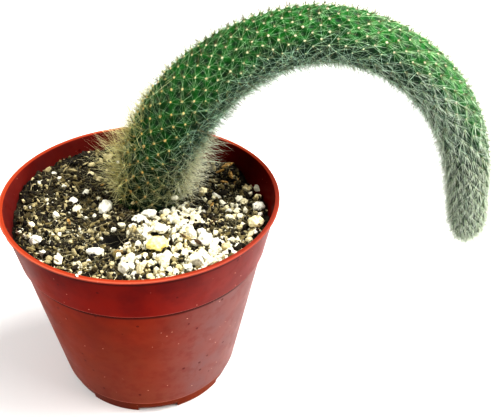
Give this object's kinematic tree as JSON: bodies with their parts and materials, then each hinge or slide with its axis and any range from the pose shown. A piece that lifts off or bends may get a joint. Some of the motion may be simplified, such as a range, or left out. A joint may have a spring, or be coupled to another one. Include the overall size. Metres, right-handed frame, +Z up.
{
  "type": "potted monkey tail cactus",
  "caption": "Round tapered nursery pot of soil with loose perlite, holding one thick hairy cactus stem that arches over and hangs down past the rim.",
  "frame": {"origin": "on the pot's axis, in the plane that the pot stands on, at the middle of the pad under its floor", "axes": "+Z up along the pot's axis; +X to the side that the stem arches over to; +Y to the back, across the arch"},
  "size_m": [0.216, 0.11, 0.1598],
  "materials": {
    "pot": "smooth brick-red moulded plastic, semi-gloss, dusty",
    "soil": "dark peat with fibres and crumbs, matt",
    "stem": "green waxy skin under white and yellow spines",
    "perlite": "white expanded grains, matt",
    "pumice": "yellow and tan porous grains, matt"
  },
  "bodies": {
    "root": {"pot": "pot", "soil": "soil", "stem": "stem", "perlite_drift": "perlite", "perlite_chunk_1": "perlite", "perlite_chunk_2": "perlite", "perlite_chunk_3": "perlite", "perlite_chunk_4": "perlite", "perlite_chunk_5": "perlite", "perlite_chunk_6": "perlite", "perlite_chunk_7": "perlite", "pumice_chunk_1": "pumice", "pumice_chunk_2": "pumice", "pumice_chunk_3": "pumice", "pumice_chunk_4": "pumice", "pumice_chunk_5": "pumice"}
  },
  "joints": []
}
